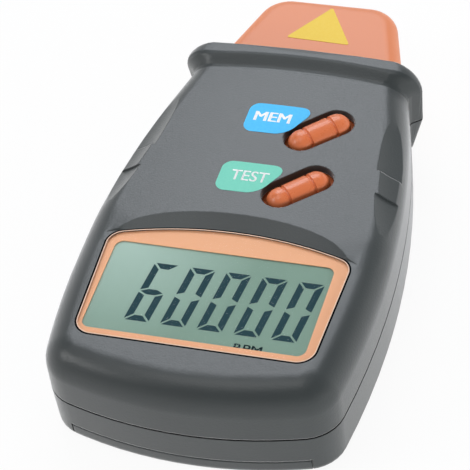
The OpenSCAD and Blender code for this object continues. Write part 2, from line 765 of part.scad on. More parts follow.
module zebra_strips() {
    color("#6d6f74") for (s = [-1, 1])
        translate([window_shift, y_window + s * (window_l / 2 + lcd_margin - zebra_w / 2), z_board_top])
            linear_extrude(zebra_h) square([window_w, zebra_w], center = true);
}

module main_board() {
    edge = edge_w - 0.5;
    room = boss_r + 3 * seat_gap + bite;
    color("#3f7a4a") difference() {
        translate([0, 0, z_board]) linear_extrude(board_t)
            polygon(half_shape(outline(edge, y_board)));
        for (s = [0, 1], p = case_spots) mirror([s, 0, 0]) translate([p.x, p.y, 0]) {
            cylinder(r = room, h = body_t);
            translate([0, -room, 0]) cube([body_w, 2 * room, body_t]);
        }
        at_board_screws() cylinder(d = pin_d + 4 * seat_gap, h = body_t);
    }
}

module controller_chip() {
    color("#2a2c2e") translate([-chip_w, (test_spot.y + mem_spot.y) / 2, z_board - chip_t])
        difference() {
            translate([-chip_w / 2, -chip_w / 2, 0]) cube([chip_w, chip_w, chip_t]);
            translate([chip_w / 2 - 2, chip_w / 2 - 2, -1]) cylinder(d = 1.2, h = 1.3);
        }
}

module crystal() {
    color("#c8cacc") translate([0, mem_spot.y + 2, z_board - crystal_h])
        linear_extrude(crystal_h) stadium(crystal_l, crystal_w);
}

module tact_switch(spot) {
    color("#2c2d30") at_button(spot) difference() {
        translate([-switch_w / 2, -switch_w / 2, z_board_top])
            cube([switch_w, switch_w, z_switch_top - z_board_top]);
        translate([0, 0, z_board_top + bite]) cylinder(d = plunger_d + 2 * slide_gap, h = body_t);
    }
}

module tact_plunger(spot) {
    foot = z_board_top + bite + button_travel + slide_gap;
    color("#a8402c") at_button(spot) translate([0, 0, foot])
        cylinder(d = plunger_d, h = z_flange - foot);
}

module mem_switch() { tact_switch(mem_spot); }
module test_switch() { tact_switch(test_spot); }
module mem_plunger() { tact_plunger(mem_spot); }
module test_plunger() { tact_plunger(test_spot); }

// A button: a capsule with two grooves on a skirt, and a flange that stays under the panel
module button_cap(spot, rise) {
    r = button_w / 2;
    z_axis = z_panel + rise - r;
    color("#dc6f38") at_button(spot) {
        translate([0, 0, z_flange]) linear_extrude(flange_t)
            stadium(slot_l + 2 * flange_w, slot_w + 2 * flange_w);
        translate([0, 0, z_flange + flange_t / 2]) linear_extrude(z_axis - z_flange)
            stadium(button_l - seat_gap, button_w - seat_gap);
        intersection() {
            translate([0, 0, z_axis]) rotate([0, 90, 0]) capsule(r, button_l);
            translate([-button_l, -button_l, z_flange + flange_t / 2])
                cube([2 * button_l, 2 * button_l, body_t]);
        }
    }
}

// A round bar along z with domed ends and two grooves
module capsule(r, l) {
    rotate_extrude() difference() {
        intersection() {
            union() {
                translate([-r, r - l / 2]) square([2 * r, l - 2 * r]);
                for (s = [-1, 1]) translate([0, s * (l / 2 - r)]) circle(r = r);
            }
            translate([0, -l]) square([r + 1, 2 * l]);
        }
        for (s = [-1, 1]) translate([r, s * ring_x]) circle(r = ring_r);
    }
}

module mem_button() { button_cap(mem_spot, button_rise); }
module test_button() { button_cap(test_spot, button_rise - test_sink); }

y_barrel = y_wall_in - laser_l;
y_laser_lens = y_wall_in - 1.4 - laser_lens_t;
module sensor_board() {
    taper = (nose_w - nose_tip_w) / (nose_l - nose_corner_r);
    room = nose_w + taper * (y_front - y_barrel) - 2 * nose_wall;
    h = z_nose - nose_base - 2 * nose_wall - 2 * seat_gap;
    color("#3f7a4a") translate([0, y_barrel, z_optics]) rotate([90, 0, 0])
        linear_extrude(sensor_t) round_rect(room - 1, h, nose_edge_r - nose_wall + 1);
}

module laser_module() {
    color("#c8a24a") difference() {
        along_y(laser_x, y_barrel, laser_d, laser_l - 1);
        along_y(laser_x, y_laser_lens - seat_gap, laser_d - 2 * barrel_wall, laser_lens_t + 4);
    }
}

module laser_lens() {
    color("#d9e2e6", 0.5)
        along_y(laser_x, y_laser_lens, laser_d - 2 * (barrel_wall + seat_gap), laser_lens_t);
}

module receiver_lens() {
    rim = nose_wall - dome_h;
    ball = ((receiver_d / 2) ^ 2 + dome_h ^ 2) / (2 * dome_h);
    color("#7a1420", 0.7) translate([receiver_x, y_wall_in - 1, z_optics]) rotate([-90, 0, 0])
        rotate_extrude() intersection() {
            translate([0, rim + 1 + dome_h - ball]) circle(r = ball, $fn = 96);
            square([receiver_d / 2, nose_wall + 1]);
        }
}

module photodiode() {
    color("#2a2c2e") {
        along_y(receiver_x, y_barrel, diode_d, diode_l / 2);
        along_y(receiver_x, y_barrel + diode_l / 4, 0.8 * diode_d, 0.75 * diode_l);
    }
}

x_battery = battery_l / 2;
y_battery = y_end + battery_y + battery_w / 2;
z_mid = z_battery + battery_t / 2;
module battery() {
    color("#b8882f") union() {
        translate([-x_battery, y_battery - battery_w / 2, z_battery])
            cube([battery_l, battery_w, battery_t]);
        for (s = [-1, 1]) translate([x_battery - bite, y_battery + s * terminal_pitch / 2, z_mid])
            rotate([0, 90, 0]) cylinder(d = s > 0 ? terminal_d : socket_d, h = terminal_h + bite);
    }
}

// The snap's block, grown by c
x_snap = x_battery + seat_gap;
module snap_block(c) {
    translate([x_snap - c, y_battery - snap_l / 2 - c, z_mid - snap_w / 2 - c])
        cube([snap_t + 2 * c, snap_l + 2 * c, snap_w + 2 * c]);
}

module battery_snap() {
    hole_h = terminal_h + 2 * seat_gap + 1;
    color("#1d1e20") difference() {
        snap_block(0);
        for (s = [-1, 1]) translate([x_snap - 1, y_battery + s * terminal_pitch / 2, z_mid])
            rotate([0, 90, 0]) cylinder(d = (s > 0 ? terminal_d : socket_d) + 4 * seat_gap, h = hole_h);
    }
}

// A lead along the outside of the snap and round its end to the underside of the board
module lead(y0, lift, past, shade) {
    x0 = x_snap + snap_t;
    x1 = x0 - 0.7 * lead_d;
    y_turn = y_battery + snap_l / 2 + lead_d;
    y1 = y_turn + past;
    run = [[x0, y0, z_mid], [x0 + 0.65 * lead_d, y0, z_mid],
        [x0 + 0.85 * lead_d, y0 + 2, mix(z_mid, z_mid + lift, 0.25)],
        [x0 + 0.85 * lead_d, y_turn - lead_d, z_mid + lift],
        [mix(x0, x1, 0.4), mix(y_turn, y1, 0.5), mix(z_mid + lift, z_board, 0.3)],
        [x1, y1, z_board - 1.2 * lead_d], [x1, y1, z_board]];
    color(shade) sweep(run, lead_d / 2, 8);
}

// A round tube along points, its ends square to its first and last stretch
module sweep(run, r, sides) {
    n = len(run);
    function along(k) = unit(run[min(k + 1, n - 1)] - run[max(k - 1, 0)]);
    function across(t) = unit(cross(t, abs(t.y) > 0.9 ? [1, 0, 0] : [0, 1, 0]));
    points = [for (k = [0:n - 1]) let (t = along(k), u = across(t), v = cross(t, u))
        each [for (i = [0:sides - 1]) run[k] + r * (cos(360 * i / sides) * u + sin(360 * i / sides) * v)]];
    walls = [for (k = [0:n - 2], i = [0:sides - 1]) let (q = (i + 1) % sides, a = sides * k)
        [a + i, a + sides + i, a + sides + q, a + q]];
    polyhedron(points, concat(walls, [[for (i = [0:sides - 1]) i]],
        [[for (i = [sides - 1:-1:0]) sides * (n - 1) + i]]));
}

module red_lead() { lead(y_battery + 0.35 * snap_l, 1.8 * lead_d, 3 * lead_d, "#b02a26"); }
module black_lead() { lead(y_battery + 0.15 * snap_l, 3.6 * lead_d, lead_d, "#222325"); }

// The crossed slots of a screw's drive, cut up into its head from height z
module cross_drive(d, z, depth) {
    for (a = [0, 90]) rotate([0, 0, a])
        translate([-0.32 * d, -0.08 * d, z - 1]) cube([0.64 * d, 0.16 * d, depth + 1]);
}

module case_screws() {
    color("#b9bcc0") at_case_screws() difference() {
        union() {
            translate([0, 0, seat_h - head_h]) cylinder(d = head_d, h = head_h);
            translate([0, 0, seat_h - bite]) cylinder(d = screw_d, h = screw_l + bite);
        }
        cross_drive(head_d, seat_h - head_h, head_h / 2);
    }
}

module board_screws() {
    color("#b9bcc0") at_board_screws() difference() {
        union() {
            translate([0, 0, z_board - pin_head_h]) cylinder(d = 2 * pin_d, h = pin_head_h);
            translate([0, 0, z_board - bite]) cylinder(d = pin_d, h = pin_l + bite);
        }
        cross_drive(2 * pin_d, z_board - pin_head_h, pin_head_h / 2);
    }
}

front_shell();
rear_shell();
nose_cap();
display_lens();
display_mask();
lcd_panel();
lcd_holder();
zebra_strips();
main_board();
controller_chip();
crystal();
mem_switch();
test_switch();
mem_plunger();
test_plunger();
mem_button();
test_button();
sensor_board();
laser_module();
laser_lens();
receiver_lens();
photodiode();
battery();
battery_snap();
red_lead();
black_lead();
battery_door();
case_screws();
board_screws();
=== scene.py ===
import math

import bmesh
import bpy
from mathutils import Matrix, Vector


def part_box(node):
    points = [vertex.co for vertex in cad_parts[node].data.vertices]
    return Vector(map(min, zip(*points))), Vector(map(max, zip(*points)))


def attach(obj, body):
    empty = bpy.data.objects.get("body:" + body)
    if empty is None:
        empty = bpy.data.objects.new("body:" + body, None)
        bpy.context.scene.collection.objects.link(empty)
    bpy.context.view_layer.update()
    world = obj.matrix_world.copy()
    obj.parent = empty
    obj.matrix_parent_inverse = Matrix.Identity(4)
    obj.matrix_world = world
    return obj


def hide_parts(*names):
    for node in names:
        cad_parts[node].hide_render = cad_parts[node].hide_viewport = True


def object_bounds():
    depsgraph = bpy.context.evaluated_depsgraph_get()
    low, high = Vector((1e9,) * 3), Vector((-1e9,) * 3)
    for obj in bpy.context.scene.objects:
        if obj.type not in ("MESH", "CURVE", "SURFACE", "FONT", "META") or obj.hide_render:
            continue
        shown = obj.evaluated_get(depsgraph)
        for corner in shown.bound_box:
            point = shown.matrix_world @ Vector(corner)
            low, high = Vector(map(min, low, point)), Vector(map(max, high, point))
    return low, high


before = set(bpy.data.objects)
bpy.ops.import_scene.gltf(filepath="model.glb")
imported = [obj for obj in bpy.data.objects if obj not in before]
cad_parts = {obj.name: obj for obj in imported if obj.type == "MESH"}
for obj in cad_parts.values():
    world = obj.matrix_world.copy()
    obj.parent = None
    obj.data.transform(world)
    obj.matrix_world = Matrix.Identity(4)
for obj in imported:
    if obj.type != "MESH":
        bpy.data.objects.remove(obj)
cad_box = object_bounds()

# Rear shell. The lower half of the case, injection-moulded in dark grey ABS, with four counterbored
# bosses for the screws that close the case. Its skin carries the fine grain of a spark-eroded tool.


def srgb(code):
    """A colour written as sRGB hex, in the linear values that shaders take."""
    parts = [int(code[k : k + 2], 16) / 255 for k in (1, 3, 5)]
    return [c / 12.92 if c <= 0.04045 else ((c + 0.055) / 1.055) ** 2.4 for c in parts] + [1]


def add_node(tree, kind, sockets, **settings):
    """One shader node with its settings, its values and its incoming links."""
    node = tree.nodes.new("ShaderNode" + kind)
    for name, value in settings.items():
        setattr(node, name, value)
    for key, value in sockets.items():
        if isinstance(value, bpy.types.NodeSocket):
            tree.links.new(value, node.inputs[key])
        else:
            node.inputs[key].default_value = value
    return node


def new_material(name):
    mat = bpy.data.materials.new(name)
    mat.use_nodes = True
    mat.node_tree.nodes.clear()
    return mat


def moulded(name, colour, shade, rough, grain_mm, depth_mm, scatter=0.0, soft_mm=0.1):
    """Injection-moulded plastic: an even grain, faint clouds of flow, soft edges that catch the light,
    and pale scatter at grazing angles."""
    flow_mm, gloss_sway = 16, 0.05
    mat = new_material(name)
    tree = mat.node_tree
    place = add_node(tree, "TexCoord", {}).outputs["Object"]
    grain = add_node(tree, "TexNoise", {"Vector": place, "Scale": 1000 / grain_mm, "Detail": 3.0})
    flow = add_node(tree, "TexNoise", {"Vector": place, "Scale": 1000 / flow_mm, "Detail": 2.0})
    tint = add_node(
        tree, "Mix", {0: flow.outputs["Fac"], 6: srgb(colour), 7: srgb(shade)}, data_type="RGBA"
    )
    gloss = add_node(
        tree,
        "MapRange",
        {
            "Value": grain.outputs["Fac"],
            "From Min": 0.3,
            "From Max": 0.7,
            "To Min": rough - gloss_sway,
            "To Max": rough + gloss_sway,
        },
    )
    soft = add_node(tree, "Bevel", {"Radius": soft_mm / 1000}, samples=6)
    bump = add_node(
        tree,
        "Bump",
        {
            "Height": grain.outputs["Fac"],
            "Strength": 0.7,
            "Distance": depth_mm / 1000,
            "Normal": soft.outputs["Normal"],
        },
    )
    shader = add_node(
        tree,
        "BsdfPrincipled",
        {
            "Base Color": tint.outputs[2],
            "Roughness": gloss.outputs["Result"],
            "Normal": bump.outputs["Normal"],
            "IOR": 1.54,
            "Sheen Weight": scatter,
            "Sheen Roughness": 0.35,
        },
    )
    add_node(tree, "OutputMaterial", {"Surface": shader.outputs["BSDF"]})
    return mat


def skin_of(node, body, mat, round_mm, crease):
    """A welded copy of a solid, shaded smooth up to crease, with its sharp edges rounded off.

    Turns are in degrees. An edge is rounded by no more than a share of the shortest edge beside it,
    so that two roundings never meet.
    """
    weld_gap, flat_turn, round_turn, room_share = 6e-5, 0.4, 24, 0.45
    skin = bpy.data.objects.new(node + "_skin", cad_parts[node].data.copy())
    bpy.context.scene.collection.objects.link(skin)
    bm = bmesh.new()
    bm.from_mesh(skin.data)
    bmesh.ops.remove_doubles(bm, verts=bm.verts, dist=weld_gap)
    bmesh.ops.dissolve_limit(
        bm, angle_limit=math.radians(flat_turn), verts=bm.verts, edges=bm.edges, delimit={"NORMAL"}
    )
    for face in bm.faces:
        face.smooth = True
    share = bm.edges.layers.float.new("bevel_weight_edge")
    for edge in bm.edges:
        turn = math.degrees(edge.calc_face_angle(0))
        edge.smooth = turn < crease
        if turn > max(crease, round_turn):
            room_mm = 1000 * min(e.calc_length() for v in edge.verts for e in v.link_edges)
            edge[share] = min(1, room_share * room_mm / round_mm)
    bm.to_mesh(skin.data)
    bm.free()
    skin.data.materials.clear()
    skin.data.materials.append(mat)
    rounding = skin.modifiers.new("tool_radius", "BEVEL")
    rounding.width = round_mm / 1000
    rounding.segments = 2
    rounding.limit_method = "WEIGHT"
    skin.modifiers.new("even_shading", "WEIGHTED_NORMAL").keep_sharp = True
    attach(skin, body)
    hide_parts(node)
    return skin


# Dark satin grey. Real spark grain is about 0.1 mm wide, and is drawn at 0.45 mm so that it shows.
case_abs = moulded(
    "spark_grained_abs",
    "#333839",
    "#393f40",
    rough=0.36,
    grain_mm=0.45,
    depth_mm=0.045,
    scatter=0.9,
    soft_mm=0.4,
)
# The groove along the joint between the halves is painted nearly black: painted shade for the shadow in
# the groove, and dust.
joint_dust_and_shade = moulded("joint_dust_and_painted_shade", "#08090a", "#0c0d0e", rough=0.7, grain_mm=0.5, depth_mm=0.01)
# Its height and half its width are in metres, as a solid's mesh is.
joint_z, joint_reach = 0.0115, 0.00025


def paint_joint_dust_and_shade(skin):
    """Paints the faces of the groove along the joint nearly black: painted shade for the shadow in the
    groove, and dust.
    """
    skin.data.materials.append(joint_dust_and_shade)
    for face in skin.data.polygons:
        if all(abs(skin.data.vertices[v].co.z - joint_z) < joint_reach for v in face.vertices):
            face.material_index = 1


paint_joint_dust_and_shade(skin_of("rear_shell", "housing", case_abs, round_mm=0.2, crease=18))

# Battery door. A separate grey ABS lid that slides off the back, hooked under the shell's edges,
# with a lip that wraps up the display end.
skin_of("battery_door", "door", case_abs, round_mm=0.2, crease=18)

# Battery, snap and leads. A 9 V block in a lacquered steel jacket, with a vinyl-covered snap pressed
# on its terminals and two stranded leads in soft insulation that run to the main board.


def dress(mat, *nodes):
    """Gives a material to solids that keep their own shape."""
    for node in nodes:
        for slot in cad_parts[node].material_slots:
            slot.material = mat


# Lacquer over steel: fine roller marks along the block, and a bronze band beside its terminals, whose
# blurred edge is given in metres.
jacket = new_material("lacquered_steel")
tree = jacket.node_tree
place = add_node(tree, "TexCoord", {}).outputs["Object"]
mark_mm = (16.667, 0.625, 0.625)
roller = add_node(tree, "Mapping", {"Vector": place, "Scale": [1000 / mm for mm in mark_mm]})
marks = add_node(tree, "TexNoise", {"Vector": roller.outputs["Vector"], "Scale": 1.0, "Detail": 2.0})
along = add_node(tree, "SeparateXYZ", {"Vector": place})
band_from, band_to = 0.0118, 0.0122
band = add_node(
    tree,
    "MapRange",
    {
        "Value": along.outputs["X"],
        "From Min": band_from,
        "From Max": band_to,
        "To Min": 0.0,
        "To Max": 1.0,
    },
)
paint = add_node(
    tree,
    "Mix",
    {0: band.outputs["Result"], 6: srgb("#26272a"), 7: srgb("#9a6a34")},
    data_type="RGBA",
)
lacquer = add_node(
    tree,
    "MapRange",
    {"Value": marks.outputs["Fac"], "To Min": 0.22, "To Max": 0.38},
)
shader = add_node(
    tree,
    "BsdfPrincipled",
    {
        "Base Color": paint.outputs[2],
        "Roughness": lacquer.outputs["Result"],
        "Metallic": 0.6,
        "Coat Weight": 0.4,
    },
)
add_node(tree, "OutputMaterial", {"Surface": shader.outputs["BSDF"]})
dress(jacket, "battery")
# Soft vinyl: a low sheen with a slight orange-peel skin.
snap_vinyl = moulded("black_vinyl", "#1b1b1d", "#222225", rough=0.5, grain_mm=1.1, depth_mm=0.02)
dress(snap_vinyl, "battery_snap")
red_cover = moulded("red_insulation", "#a81d1d", "#b42626", rough=0.42, grain_mm=0.9, depth_mm=0.01)
dress(red_cover, "red_lead")
black_cover = moulded("black_insulation", "#18181a", "#1f1f22", rough=0.42, grain_mm=0.9, depth_mm=0.01)
dress(black_cover, "black_lead")

# Main board. Glass-fibre board under green solder resist, with the controller, its crystal and two
# tact switches soldered on top, and four steel screws that hold it to the front shell's bosses.

# Green resist over copper: tracks 0.5 mm wide on a 2.5 mm pitch show as paler, raised lines.
track_pitch, resist_step = 2.5, 0.04
resist = new_material("green_solder_resist")
tree = resist.node_tree
place = add_node(tree, "TexCoord", {}).outputs["Object"]
tracks = add_node(
    tree,
    "TexBrick",
    {
        "Vector": place,
        "Color1": srgb("#1c4f2a"),
        "Color2": srgb("#205730"),
        "Mortar": srgb("#3b8049"),
        "Scale": 1000 / track_pitch,
        "Mortar Size": 0.1,
        "Brick Width": 3.0,
        "Row Height": 1.0,
    },
)
raised = add_node(
    tree,
    "Bump",
    {"Height": tracks.outputs["Fac"], "Strength": 0.6, "Distance": resist_step / 1000},
)
shader = add_node(
    tree,
    "BsdfPrincipled",
    {"Base Color": tracks.outputs["Color"], "Roughness": 0.3, "Normal": raised.outputs["Normal"]},
)
add_node(tree, "OutputMaterial", {"Surface": shader.outputs["BSDF"]})
dress(resist, "main_board", "sensor_board")
# Matt moulding compound with a sandy skin.
black_epoxy = moulded("black_epoxy", "#1d1d1f", "#252527", rough=0.6, grain_mm=0.3, depth_mm=0.01)
dress(black_epoxy, "controller_chip", "mem_switch", "test_switch", "photodiode")
# Slippery acetal with a low, even gleam.
red_acetal = moulded("red_acetal", "#8c1f1a", "#97271f", rough=0.35, grain_mm=0.5, depth_mm=0.006)
dress(red_acetal, "mem_plunger", "test_plunger")


def worked_metal(name, colour, rough, mark_mm, depth_mm):
    """Bare metal with the marks of its tool, as noise that is mark_mm long on each axis."""
    gloss_sway = 0.1
    mat = new_material(name)
    tree = mat.node_tree
    place = add_node(tree, "TexCoord", {}).outputs["Object"]
    path = add_node(tree, "Mapping", {"Vector": place, "Scale": [1000 / mm for mm in mark_mm]})
    marks = add_node(tree, "TexNoise", {"Vector": path.outputs["Vector"], "Scale": 1.0, "Detail": 2.0})
    gloss = add_node(
        tree,
        "MapRange",
        {"Value": marks.outputs["Fac"], "To Min": rough - gloss_sway, "To Max": rough + gloss_sway},
    )
    bump = add_node(
        tree, "Bump", {"Height": marks.outputs["Fac"], "Strength": 0.5, "Distance": depth_mm / 1000}
    )
    shader = add_node(
        tree,
        "BsdfPrincipled",
        {
            "Base Color": srgb(colour),
            "Metallic": 1.0,
            "Roughness": gloss.outputs["Result"],
            "Normal": bump.outputs["Normal"],
        },
    )
    add_node(tree, "OutputMaterial", {"Surface": shader.outputs["BSDF"]})
    return mat


# Zinc-plated steel: a soft grey gleam with a fine even tooth.
plated_steel = worked_metal(
    "plated_steel", "#b9bcc0", rough=0.34, mark_mm=(0.5556, 0.5556, 0.5556), depth_mm=0.006
)
dress(plated_steel, "crystal", "board_screws")

# Display. A glass cell on two layered rubber contact strips inside a white frame, with the lit
# segments printed in its crystal layer, read through the polariser on its face.

# Layered rubber: 0.1 mm conductive bands in the real strip, drawn at 0.5 mm so that they show.
band_mm = 0.5
zebra = new_material("layered_rubber")
tree = zebra.node_tree
place = add_node(tree, "TexCoord", {}).outputs["Object"]
bands = add_node(
    tree,
    "TexWave",
    {"Vector": place, "Scale": 1000 / band_mm / (2 * math.pi)},
    bands_direction="X",
)
layer = add_node(
    tree,
    "Mix",
    {0: bands.outputs["Fac"], 6: srgb("#2a2a2c"), 7: srgb("#7d7f82")},
    data_type="RGBA",
)
shader = add_node(tree, "BsdfPrincipled", {"Base Color": layer.outputs[2], "Roughness": 0.7})
add_node(tree, "OutputMaterial", {"Surface": shader.outputs["BSDF"]})
dress(zebra, "zebra_strips")
# Plain white ABS, left as it comes from its tool.
white_abs = moulded("white_abs", "#d3d3cc", "#dadad4", rough=0.45, grain_mm=0.4, depth_mm=0.008)
dress(white_abs, "lcd_holder")

# Polariser over its reflector: grey-green with a faint silvery grain, and a painted reflection that makes
# it paler towards one corner. That corner and the reach of the painted reflection are in metres, as
# Object coordinates are.
painted_glare_corner, painted_glare_reach, sparkle_mm = (-0.022, -0.024, 0.0242), 0.03, 0.3
polariser = new_material("reflective_polariser")
tree = polariser.node_tree
place = add_node(tree, "TexCoord", {}).outputs["Object"]
corner = add_node(tree, "VectorMath", {0: place, 1: painted_glare_corner}, operation="DISTANCE")
glare_fade = add_node(
    tree,
    "MapRange",
    {
        "Value": corner.outputs["Value"],
        "From Min": 0.0,
        "From Max": painted_glare_reach,
        "To Min": 1.0,
        "To Max": 0.0,
    },
)
tint = add_node(
    tree, "Mix", {0: glare_fade.outputs["Result"], 6: srgb("#88a192"), 7: srgb("#b4cbbf")}, data_type="RGBA"
)
sparkle = add_node(tree, "TexNoise", {"Vector": place, "Scale": 1000 / sparkle_mm, "Detail": 1.0})
silver = add_node(
    tree, "MapRange", {"Value": sparkle.outputs["Fac"], "To Min": 0.94, "To Max": 1.06}
)
shade = add_node(
    tree,
    "Mix",
    {0: 1.0, 6: tint.outputs[2], 7: silver.outputs["Result"]},
    data_type="RGBA",
    blend_type="MULTIPLY",
)
shader = add_node(
    tree,
    "BsdfPrincipled",
    {"Base Color": shade.outputs[2], "Roughness": 0.6, "Specular IOR Level": 0.1},
)
add_node(tree, "OutputMaterial", {"Surface": shader.outputs["BSDF"]})
dress(polariser, "lcd_panel")


def piece(name, bm, mats, body):
    """An object from a mesh that was drawn in millimetres, riding on a body."""
    bmesh.ops.recalc_face_normals(bm, faces=bm.faces)
    bmesh.ops.scale(bm, vec=(0.001, 0.001, 0.001), verts=bm.verts)
    mesh = bpy.data.meshes.new(name)
    bm.to_mesh(mesh)
    bm.free()
    for mat in mats:
        mesh.materials.append(mat)
    made = bpy.data.objects.new(name, mesh)
    bpy.context.scene.collection.objects.link(made)
    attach(made, body)
    return made


def thicken(bm, depth):
    """Raises a flat drawing into a closed plate."""
    raised = bmesh.ops.extrude_face_region(bm, geom=bm.faces[:], use_keep_orig=True)
    tops = [g for g in raised["geom"] if isinstance(g, bmesh.types.BMVert)]
    bmesh.ops.translate(bm, vec=(0, 0, depth), verts=tops)


def printed(name, colour, shade, rough, shine=0.12):
    """Screen-printed ink: a flat coat with the faint cells of the screen.

    Real cells are about 0.15 mm wide, and are drawn at 0.6 mm so that they show.
    """
    cell_mm = 0.6
    mat = new_material(name)
    tree = mat.node_tree
    place = add_node(tree, "TexCoord", {}).outputs["Object"]
    cells = add_node(tree, "TexVoronoi", {"Vector": place, "Scale": 1000 / cell_mm})
    coat = add_node(
        tree, "Mix", {0: cells.outputs["Distance"], 6: srgb(colour), 7: srgb(shade)}, data_type="RGBA"
    )
    shader = add_node(
        tree,
        "BsdfPrincipled",
        {"Base Color": coat.outputs[2], "Roughness": rough, "Specular IOR Level": shine},
    )
    add_node(tree, "OutputMaterial", {"Surface": shader.outputs["BSDF"]})
    return mat


# Each figure's width and height, its bars' width and half the gap between them, and its slant in degrees.
fig_w, fig_h, bar, gap, slant = 6.1, 17.8, 2.05, 0.23, 6.0
# The lower left corner of the first figure, and the step to the next.
fig_left, fig_low, fig_pitch = -17.3, -46.8, 8.25
# The segments start just inside the glass, so that no gap shows under them.
segment_sink, segment_t = 0.01, 0.03
# Points nearer than the first lie together, and a bar further off than the second is beside the middle.
same_place, off_middle = 1e-4, 0.5
glass_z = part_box("lcd_panel")[1].z * 1000
# Dark blue-grey crystal, with a little of the polariser's tint.
crystal_dark = printed("dark_crystal", "#324950", "#354c53", rough=0.6, shine=0.0)
# Each figure is seven bars less the one left dark, named by its side: a six and then noughts.
for k, unlit in enumerate(((1, 1), (0, 0), (0, 0), (0, 0), (0, 0))):
    bm = bmesh.new()
    bmesh.ops.create_grid(bm, x_segments=1, y_segments=2, size=0.5)
    bmesh.ops.scale(bm, vec=(fig_w, fig_h, 1), verts=bm.verts)
    cells = bm.faces[:]
    bmesh.ops.inset_individual(bm, faces=cells, thickness=bar, use_even_offset=True)
    bmesh.ops.delete(bm, geom=cells, context="FACES_ONLY")
    for vert in bm.verts:
        if abs(abs(vert.co.y) - bar) < same_place:
            vert.co.y /= 2
    middle = [e for e in bm.edges if all(abs(v.co.y) < same_place for v in e.verts)]
    bmesh.ops.dissolve_edges(bm, edges=middle)
    for face in bm.faces[:]:
        mid = face.calc_center_median()
        side = tuple((c > off_middle) - (c < -off_middle) for c in (mid.x, mid.y))
        if side == unlit:
            bm.faces.remove(face)
    rims = bmesh.ops.inset_individual(bm, faces=bm.faces[:], thickness=gap, use_even_offset=True)
    bmesh.ops.delete(bm, geom=rims["faces"], context="FACES")
    for vert in bm.verts:
        vert.co.x += (vert.co.y + fig_h / 2) * math.tan(math.radians(slant))
    spot = (fig_left + fig_w / 2 + k * fig_pitch, fig_low + fig_h / 2, glass_z - segment_sink)
    bmesh.ops.translate(bm, vec=spot, verts=bm.verts)
    thicken(bm, segment_t)
    piece("lcd_figure_%d" % (k + 1), bm, [crystal_dark], "housing")


def lettering(word, left, right, low, high, bold):
    """A word as a flat drawing, fitted between four edges, with strokes widened by bold on each side."""
    curve = bpy.data.curves.new(word, "FONT")
    curve.body = word
    curve.resolution_u = 4
    typed = bpy.data.objects.new(word, curve)
    bpy.context.scene.collection.objects.link(typed)
    mesh = bpy.data.meshes.new_from_object(typed.evaluated_get(bpy.context.evaluated_depsgraph_get()))
    bm = bmesh.new()
    bm.from_mesh(mesh)
    bpy.data.objects.remove(typed)
    bpy.data.curves.remove(curve)
    bpy.data.meshes.remove(mesh)
    bmesh.ops.remove_doubles(bm, verts=bm.verts, dist=1e-5)
    xs = [v.co.x for v in bm.verts]
    ys = [v.co.y for v in bm.verts]
    bmesh.ops.translate(bm, vec=(-min(xs), -min(ys), 0), verts=bm.verts)
    wide = (right - left) / (max(xs) - min(xs))
    tall = (high - low) / (max(ys) - min(ys))
    bmesh.ops.scale(bm, vec=(wide, tall, 1), verts=bm.verts)
    bmesh.ops.translate(bm, vec=(left - bold, low, 0), verts=bm.verts)
    twin = bmesh.ops.duplicate(bm, geom=bm.verts[:] + bm.edges[:] + bm.faces[:])["geom"]
    shifted = [g for g in twin if isinstance(g, bmesh.types.BMVert)]
    bmesh.ops.translate(bm, vec=(2 * bold, 0, 0), verts=shifted)
    return bm


bm = lettering("RPM", left=8.83, right=15.03, low=-51.2, high=-49.0, bold=0.05)
bmesh.ops.translate(bm, vec=(0, 0, glass_z - segment_sink), verts=bm.verts)
thicken(bm, segment_t)
piece("lcd_unit", bm, [crystal_dark], "housing")

# Optics. A turned brass barrel holds the laser diode behind a small glass, and a larger dark red
# filter lens beside it gathers the returning light on a photodiode on the sensor board.

# Turned brass: bright yellow with fine rings round the barrel.
brass = worked_metal("turned_brass", "#c9a14e", rough=0.25, mark_mm=(25, 0.3333, 25), depth_mm=0.008)
dress(brass, "laser_module")


def clear(name, tint, rough, bending):
    """A clear piece: it bends what lies behind it and lets the lamps' light through."""
    haze_mm = 6
    mat = new_material(name)
    tree = mat.node_tree
    place = add_node(tree, "TexCoord", {}).outputs["Object"]
    haze = add_node(tree, "TexNoise", {"Vector": place, "Scale": 1000 / haze_mm, "Detail": 2.0})
    polish = add_node(
        tree, "MapRange", {"Value": haze.outputs["Fac"], "To Min": rough, "To Max": 2 * rough}
    )
    body = add_node(
        tree,
        "BsdfPrincipled",
        {
            "Base Color": srgb(tint),
            "Roughness": polish.outputs["Result"],
            "IOR": bending,
            "Transmission Weight": 1.0,
        },
    )
    through = add_node(tree, "BsdfTransparent", {"Color": srgb(tint)})
    path = add_node(tree, "LightPath", {})
    lighting = add_node(
        tree,
        "Math",
        {0: path.outputs["Is Shadow Ray"], 1: path.outputs["Is Diffuse Ray"]},
        operation="MAXIMUM",
    )
    mixed = add_node(
        tree,
        "MixShader",
        {0: lighting.outputs["Value"], 1: body.outputs["BSDF"], 2: through.outputs["BSDF"]},
    )
    add_node(tree, "OutputMaterial", {"Surface": mixed.outputs["Shader"]})
    return mat


# Polished glass with a trace of haze, and a filter so deep red that it looks nearly black.
dress(clear("polished_glass", "#eef4f6", rough=0.02, bending=1.5), "laser_lens")
dress(clear("red_filter_glass", "#6e0d12", rough=0.03, bending=1.5), "receiver_lens")

# Nose. An orange ABS cap clamped between the two halves of the case, which carries the optics.
# A plain triangle of yellow vinyl is stuck on its flat top.

# Satin orange, with a shallower grain than the case.
nose_abs = moulded("satin_orange_abs", "#dd8254", "#e0885b", rough=0.42, grain_mm=0.35, depth_mm=0.008)
skin_of("nose_cap", "housing", nose_abs, round_mm=0.15, crease=18)
